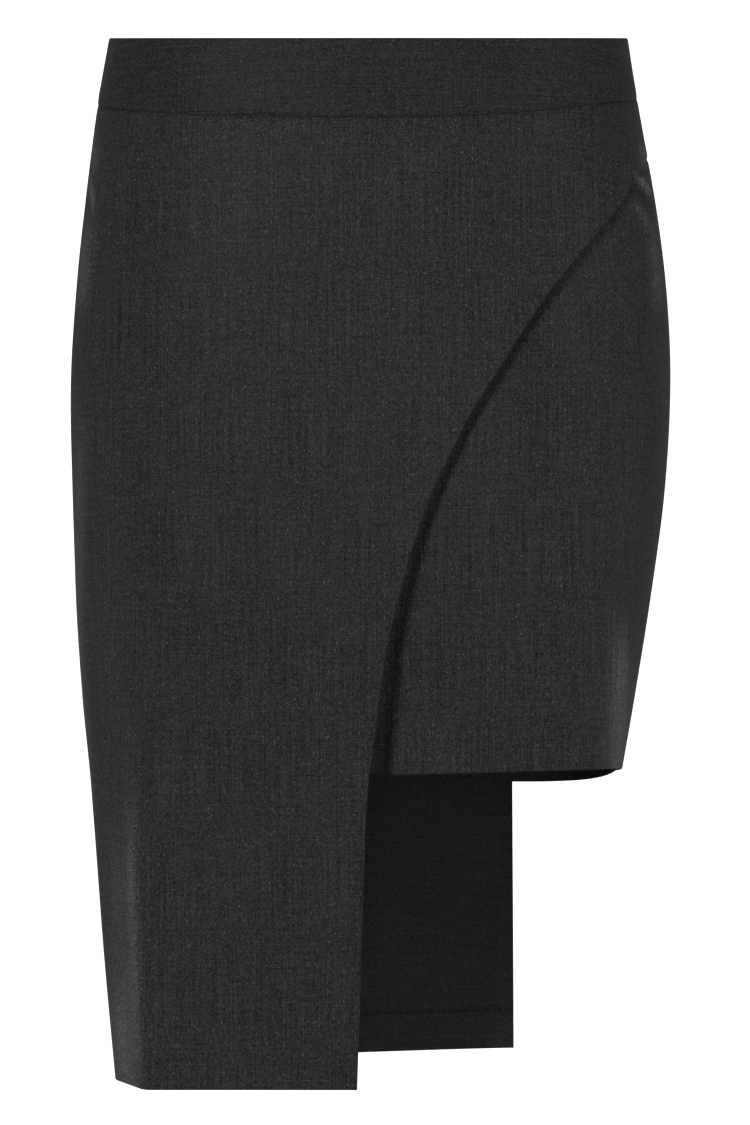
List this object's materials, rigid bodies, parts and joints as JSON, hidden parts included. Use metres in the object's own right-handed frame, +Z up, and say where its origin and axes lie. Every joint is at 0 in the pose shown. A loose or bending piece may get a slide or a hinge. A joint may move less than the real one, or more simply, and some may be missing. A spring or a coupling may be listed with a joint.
{
  "type": "asymmetric mini skirt",
  "caption": "Hollow worn wrap-front skirt in dark woven suiting: long overlay with a curved free edge over a short underlay, stepped back hem, waistband and concealed side zip.",
  "frame": {"origin": "middle of the waist opening, level with the top ends of the side seams", "axes": "+Z up the skirt, +X to the right seen from the front, +Y towards the back"},
  "size_m": [0.3443, 0.2434, 0.6059],
  "materials": {
    "suiting": "charcoal wool suiting, fine upright slubs",
    "band_suiting": "charcoal wool suiting, grain across",
    "zip_tape": "black woven tape",
    "zip_enamel": "black enamel"
  },
  "bodies": {
    "skirt": {"waistband_front": "band_suiting", "waistband_back": "band_suiting", "front_overlay": "suiting", "front_underlay": "suiting", "back_long_panel": "suiting", "back_short_panel": "suiting", "zip_tape_front": "zip_tape", "zip_tape_back": "zip_tape", "zip_slider": "zip_enamel"},
    "pull_tab": {"zip_pull": "zip_enamel"}
  },
  "joints": [
    {"name": "pull_tab_hinge", "type": "hinge", "parent": "skirt", "child": "pull_tab", "pos_m": [-0.14943, 0.02433, -0.00704], "axis": [0.1925, 0.9807, -0.0355], "range_deg": [0, 165]}
  ]
}
